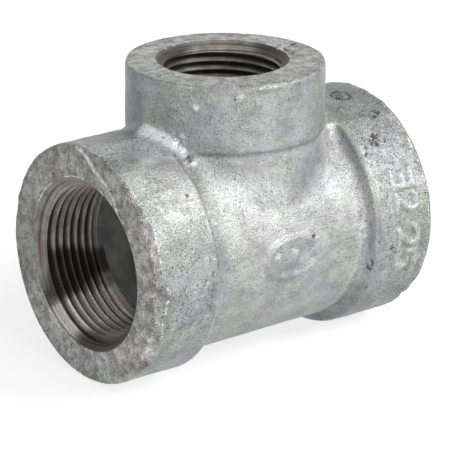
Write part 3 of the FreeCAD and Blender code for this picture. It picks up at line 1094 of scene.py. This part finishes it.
class Finish:
    """Short way to write a node material."""

    def __init__(self, name):
        self.material = bpy.data.materials.new(name)
        self.material.use_nodes = True
        self.tree = self.material.node_tree
        self.tree.nodes.clear()
        self.shader = self.node("ShaderNodeBsdfPrincipled")
        output = self.node("ShaderNodeOutputMaterial")
        self.link(self.shader.outputs["BSDF"], output.inputs["Surface"])
        place_in = self.node("ShaderNodeTexCoord")
        scaled = self.node("ShaderNodeVectorMath", operation="SCALE")
        scaled.inputs["Scale"].default_value = 1 / MM
        self.link(place_in.outputs["Object"], scaled.inputs[0])
        self.place = scaled.outputs[0]

    def node(self, kind, **settings):
        made = self.tree.nodes.new(kind)
        for name, value in settings.items():
            setattr(made, name, value)
        return made

    def link(self, source, target):
        if hasattr(source, "node"):
            self.tree.links.new(source, target)
        else:
            target.default_value = source

    def noise(self, size, detail=2.0, rough=0.5, distortion=0.0, stretch=None):
        """Noise whose lumps are about `size` millimetres across, or longer along a stretched axis."""
        made = self.node("ShaderNodeTexNoise")
        place = self.place
        if stretch is not None:
            shrink = self.node("ShaderNodeVectorMath", operation="MULTIPLY")
            self.link(self.place, shrink.inputs[0])
            shrink.inputs[1].default_value = [1 / factor for factor in stretch]
            place = shrink.outputs[0]
        self.link(place, made.inputs["Vector"])
        made.inputs["Scale"].default_value = 1 / size
        made.inputs["Detail"].default_value = detail
        made.inputs["Roughness"].default_value = rough
        made.inputs["Distortion"].default_value = distortion
        return made.outputs["Fac"]

    def cells(self, size):
        """Distance from the middles of random cells about `size` millimetres across."""
        made = self.node("ShaderNodeTexVoronoi")
        self.link(self.place, made.inputs["Vector"])
        made.inputs["Scale"].default_value = 1 / size
        return made.outputs["Distance"]

    def remap(self, value, low, high, to_low=0.0, to_high=1.0):
        """Smooth step of a value from one range to another."""
        made = self.node("ShaderNodeMapRange", interpolation_type="SMOOTHSTEP")
        self.link(value, made.inputs["Value"])
        numbers = {"From Min": low, "From Max": high, "To Min": to_low, "To Max": to_high}
        for socket, number in numbers.items():
            made.inputs[socket].default_value = number
        return made.outputs["Result"]

    def combine(self, operation, one, other, clamp=False):
        made = self.node("ShaderNodeMath", operation=operation, use_clamp=clamp)
        self.link(one, made.inputs[0])
        self.link(other, made.inputs[1])
        return made.outputs[0]

    def times(self, one, other, clamp=False):
        return self.combine("MULTIPLY", one, other, clamp)

    def plus(self, one, other, clamp=False):
        return self.combine("ADD", one, other, clamp)

    def mix(self, factor, one, other, blend="MIX"):
        made = self.node("ShaderNodeMix", data_type="RGBA", blend_type=blend)
        self.link(factor, made.inputs[0])
        self.link(one, made.inputs[6])
        self.link(other, made.inputs[7])
        return made.outputs[2]

    def shade(self, factor, colour, shade):
        """Colour multiplied by a shade as far as a factor says."""
        return self.mix(factor, colour, (*shade, 1.0), "MULTIPLY")

    def attribute(self, name):
        return self.node("ShaderNodeAttribute", attribute_name=name).outputs["Fac"]

    def bump(self, height, distance, below=None):
        """Bump of a height from 0 to 1 over a distance in millimetres."""
        made = self.node("ShaderNodeBump")
        made.inputs["Strength"].default_value = 1.0
        made.inputs["Distance"].default_value = distance * MM
        self.link(height, made.inputs["Height"])
        if below is not None:
            self.link(below, made.inputs["Normal"])
        return made.outputs["Normal"]


def grey(level, warm=0.0):
    """Linear colour from an sRGB level of 0 to 255, a little warmer or cooler."""
    channels = []
    for shift in (warm, 0.0, -warm):
        value = (level + shift) / 255
        channels.append(value / 12.92 if value <= 0.04045 else ((value + 0.055) / 1.055) ** 2.4)
    return (*channels, 1.0)


def zinc_finish(name, dark, light, bright, metal, rough, sandy, broad_share):
    """Hot-dip zinc over a sand-cast skin: mottled greys, smooth and sandy patches, specks, pits and dirt,
    with painted shade and highlights from point attributes, and painted shade and sparkle in the grain.
    """
    finish = Finish(name)
    broad = finish.noise(9.0, 3.0, 0.55)
    patch = finish.noise(2.6, 3.0, 0.6, 0.3)
    fine = finish.noise(0.34, 1.0, 0.5)
    peel = finish.noise(0.8, 2.0, 0.6, 0.1)
    run_off = finish.noise(1.3, 2.0, 0.55, 0.2, stretch=(4.0, 1.0, 1.0))
    zinc_and_highlight = finish.attribute("zinc_and_highlight")
    sand = finish.remap(finish.noise(5.0, 2.0, 0.5, 0.5), 0.42, 0.58, sandy * 0.45, sandy)
    sand = finish.combine("MAXIMUM", sand, finish.attribute("coarse"))

    tone = finish.plus(finish.times(broad, broad_share), finish.times(patch, 0.85 - broad_share))
    tone = finish.plus(tone, finish.times(run_off, 0.15))
    colour = finish.mix(finish.remap(tone, 0.38, 0.62), dark, light)
    green = finish.remap(finish.noise(13.0, 2.0, 0.5), 0.46, 0.62, 0.0, 0.6)
    colour = finish.shade(green, colour, (0.97, 1.0, 0.92))
    blue = finish.remap(finish.noise(17.0, 2.0, 0.5, 0.5), 0.48, 0.64, 0.0, 0.6)
    colour = finish.shade(blue, colour, (0.92, 0.96, 1.0))
    # Painted shade, from a point attribute, darkens the colour
    colour = finish.shade(finish.attribute("painted_shade"), colour, (0.60, 0.62, 0.62))
    # Thick zinc and painted highlights lighten the colour towards the bright grey
    thick_zinc_and_highlight = finish.times(zinc_and_highlight, finish.remap(peel, 0.3, 0.6, 0.7, 1.15))
    colour = finish.mix(finish.remap(thick_zinc_and_highlight, 0.15, 0.85, 0.0, 0.9), colour, bright)

    # Painted shade in the low places of the grain, which the bumps follow, and painted sparkle on its high
    # places
    grit = finish.plus(finish.times(fine, 0.5), finish.times(peel, 0.5))
    hollows = finish.times(finish.remap(grit, 0.36, 0.48, 1.0, 0.0), finish.times(sand, sand))
    colour = finish.shade(hollows, colour, (0.42, 0.42, 0.40))
    specks = finish.times(finish.remap(fine, 0.34, 0.42, 1.0, 0.0), finish.plus(sand, 0.5), clamp=True)
    colour = finish.shade(specks, colour, (0.5, 0.5, 0.49))
    glitter = finish.times(finish.remap(grit, 0.54, 0.64), sand)
    colour = finish.shade(glitter, colour, (1.4, 1.4, 1.4))
    holes = finish.remap(finish.cells(0.8), 0.1, 0.26, 1.0, 0.0)
    pits = finish.times(holes, finish.remap(finish.noise(1.9, 2.0), 0.54, 0.6))
    colour = finish.mix(finish.times(pits, 0.5), colour, grey(72, 2))
    # Dirt, with painted shade, darkens the colour in clots
    clots = finish.remap(finish.noise(1.1, 4.0, 0.65, 0.3), 0.4, 0.58, 0.2, 1.3)
    dirt_and_shade = finish.remap(finish.times(finish.attribute("dirt_and_shade"), clots), 0.2, 0.62)
    colour = finish.mix(finish.times(dirt_and_shade, 0.88), colour, grey(52, 3))
    finish.link(colour, finish.shader.inputs["Base Color"])

    shine = finish.plus(finish.times(patch, 0.2), rough - 0.1)
    shine = finish.combine("SUBTRACT", shine, finish.times(zinc_and_highlight, 0.06))
    shine = finish.plus(shine, finish.times(dirt_and_shade, 0.3), clamp=True)
    finish.link(shine, finish.shader.inputs["Roughness"])
    finish.shader.inputs["Metallic"].default_value = metal

    normal = finish.bump(finish.times(peel, finish.plus(sand, 0.25)), 0.24)
    normal = finish.bump(finish.times(fine, finish.plus(sand, 0.3)), 0.2, normal)
    normal = finish.bump(run_off, 0.06, normal)
    normal = finish.bump(finish.combine("SUBTRACT", 1.0, pits), 0.1, normal)
    finish.link(normal, finish.shader.inputs["Normal"])
    return finish.material


def cut_finish(name, axis):
    """Bare threads cut through the zinc: warm grey-brown with fine turned rings, a painted lit patch, painted
    shade in the roots, and oil with painted shade.
    """
    finish = Finish(name)
    stain = finish.noise(4.0, 3.0, 0.6)
    fine = finish.noise(0.45, 2.0, 0.6, 0.2)
    rings = finish.node("ShaderNodeTexWave", wave_type="BANDS", bands_direction=axis)
    finish.link(finish.place, rings.inputs["Vector"])
    for socket, value in (("Scale", 0.42), ("Distortion", 1.2), ("Detail", 2.0), ("Detail Scale", 0.5)):
        rings.inputs[socket].default_value = value
    rings = rings.outputs["Fac"]

    colour = finish.mix(finish.remap(stain, 0.35, 0.65), grey(136, 6), grey(170, 6))
    # Painted light on the lit patch of the threads
    lit = finish.remap(finish.attribute("zinc_and_highlight"), 0.1, 0.9, 0.0, 0.9)
    colour = finish.mix(lit, colour, grey(228, 7))
    colour = finish.shade(finish.remap(rings, 0.0, 0.45, 0.4, 0.0), colour, (0.35, 0.33, 0.32))
    colour = finish.mix(finish.remap(fine, 0.5, 0.66, 0.0, 0.45), colour, grey(82, 6))
    # Painted shade in the thread roots
    root = finish.remap(finish.attribute("root"), 0.12, 0.8, 0.0, 0.9)
    colour = finish.mix(root, colour, grey(46, 5))
    # Oil and painted shade
    oil_and_shade = finish.remap(finish.attribute("oil_and_shade"), 0.05, 1.0, 0.0, 0.92)
    colour = finish.mix(oil_and_shade, colour, grey(26, 3))
    finish.link(colour, finish.shader.inputs["Base Color"])
    finish.shader.inputs["Metallic"].default_value = 0.4
    finish.link(finish.remap(stain, 0.3, 0.7, 0.36, 0.52), finish.shader.inputs["Roughness"])
    finish.link(finish.bump(fine, 0.07, finish.bump(rings, 0.05)), finish.shader.inputs["Normal"])
    return finish.material


def hollow_finish():
    """Cored wall inside: dark dull zinc over rough sand-cast iron."""
    finish = Finish("cored_hollow")
    stain = finish.noise(6.0, 3.0, 0.6)
    colour = finish.mix(finish.remap(stain, 0.35, 0.65), grey(132, 1), grey(166, 0))
    finish.link(colour, finish.shader.inputs["Base Color"])
    finish.shader.inputs["Metallic"].default_value = 0.25
    finish.link(finish.remap(stain, 0.3, 0.7, 0.55, 0.75), finish.shader.inputs["Roughness"])
    finish.link(finish.bump(finish.noise(0.9, 3.0, 0.6), 0.12), finish.shader.inputs["Normal"])
    return finish.material


FINISHES = {
    SKIN: zinc_finish(
        "zinc_skin", grey(152), grey(180), grey(238, -2), metal=0.34, rough=0.40, sandy=0.5, broad_share=0.45
    ),
    FACE: zinc_finish(
        "zinc_face", grey(140, 2), grey(212, 2), grey(230), metal=0.22, rough=0.48, sandy=1.1, broad_share=0.2
    ),
    THREAD: cut_finish("cut_run_threads", "X"),
    HOLLOW: hollow_finish(),
    BRANCH_THREAD: cut_finish("cut_branch_threads", "Z"),
}
casting.materials.clear()
for finish_number in sorted(FINISHES):
    casting.materials.append(FINISHES[finish_number])
casting.polygons.foreach_set("material_index", region.astype(np.int32))
casting.update()

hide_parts(NODE)
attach(tee, "root")


# Floor, light and camera

def shown_rays(tree):
    """1 for rays that show the background: camera, glossy and transmission rays."""
    rays = tree.nodes.new("ShaderNodeLightPath")
    total = rays.outputs["Is Camera Ray"]
    for name in ("Is Glossy Ray", "Is Transmission Ray"):
        most = tree.nodes.new("ShaderNodeMath")
        most.operation = "MAXIMUM"
        tree.links.new(total, most.inputs[0])
        tree.links.new(rays.outputs[name], most.inputs[1])
        total = most.outputs[0]
    return total


def shown_and_lit(tree, lighting, shown, target):
    """Gives a socket one value for the rays that light the object and another for those that show it."""
    value = tree.nodes.new("ShaderNodeMapRange")
    value.inputs["To Min"].default_value = lighting
    value.inputs["To Max"].default_value = shown
    tree.links.new(shown_rays(tree), value.inputs["Value"])
    tree.links.new(value.outputs["Result"], target)


AMBIENT = 0.33
FLOOR_HALF = 4.0
FLOOR_BASE = 0.4
FLOOR_GLOW = 0.75

world = bpy.data.worlds.new("studio")
bpy.context.scene.world = world
world.use_nodes = True
background = world.node_tree.nodes["Background"]
background.inputs["Color"].default_value = (1, 1, 1, 1)
shown_and_lit(world.node_tree, AMBIENT, 1.0, background.inputs["Strength"])

floor_mesh = bpy.data.meshes.new("floor")
floor_corners = [(sx * FLOOR_HALF, sy * FLOOR_HALF, 0) for sx, sy in ((-1, -1), (1, -1), (1, 1), (-1, 1))]
floor_mesh.from_pydata(floor_corners, [], [(0, 1, 2, 3)])
floor = bpy.data.objects.new("floor", floor_mesh)
bpy.context.scene.collection.objects.link(floor)
floor_material = bpy.data.materials.new("pale_floor")
floor_material.use_nodes = True
floor_tree = floor_material.node_tree
floor_shader = floor_tree.nodes["Principled BSDF"]
floor_shader.inputs["Roughness"].default_value = 0.9
floor_shader.inputs["Specular IOR Level"].default_value = 0.0
floor_shader.inputs["Emission Color"].default_value = (1, 1, 1, 1)
shown_and_lit(floor_tree, 0.9, FLOOR_BASE, floor_shader.inputs["Base Color"])
shown_and_lit(floor_tree, 0.0, FLOOR_GLOW, floor_shader.inputs["Emission Strength"])
floor_mesh.materials.append(floor_material)


AIM = Vector((0, 0, 0.035))


def lamp(name, offset, width, height, power):
    """Soft lamp box that looks at the middle of the tee."""
    light = bpy.data.lights.new(name, "AREA")
    light.shape = "RECTANGLE"
    light.size = width
    light.size_y = height
    light.energy = power
    made = bpy.data.objects.new(name, light)
    made.location = Vector(offset) + AIM
    made.rotation_euler = (AIM - made.location).to_track_quat("-Z", "Y").to_euler()
    bpy.context.scene.collection.objects.link(made)


lamp("key", (0.57, -0.63, 0.51), width=0.54, height=0.36, power=6.9)
lamp("top", (0.02, -0.58, 0.82), width=0.36, height=0.26, power=2.0)
lamp("front", (0.06, -0.95, 0.09), width=0.40, height=0.16, power=0.9)
lamp("fill", (-0.42, -0.86, 0.20), width=0.5, height=0.5, power=2.4)

CAMERA_PLACE = (-0.3712, -0.4637, 0.2438)
CAMERA_BACK = (-0.5887, -0.7349, 0.3368)
CAMERA_ROLL = math.radians(0.4409)
CAMERA_LENS = 196.73

camera_data = bpy.data.cameras.new("camera")
camera_data.sensor_width = 36.0
camera_data.lens = CAMERA_LENS
camera = bpy.data.objects.new("camera", camera_data)
back = Vector(CAMERA_BACK).normalized()
level_right = Vector((0, 0, 1)).cross(back).normalized()
level_up = back.cross(level_right)
right = level_right * math.cos(CAMERA_ROLL) + level_up * math.sin(CAMERA_ROLL)
up = level_up * math.cos(CAMERA_ROLL) - level_right * math.sin(CAMERA_ROLL)
looking = Matrix((right, up, back)).transposed().to_4x4()
camera.matrix_world = Matrix.Translation(CAMERA_PLACE) @ looking
bpy.context.scene.collection.objects.link(camera)
bpy.context.scene.camera = camera
bpy.context.scene.view_settings.view_transform = "Standard"

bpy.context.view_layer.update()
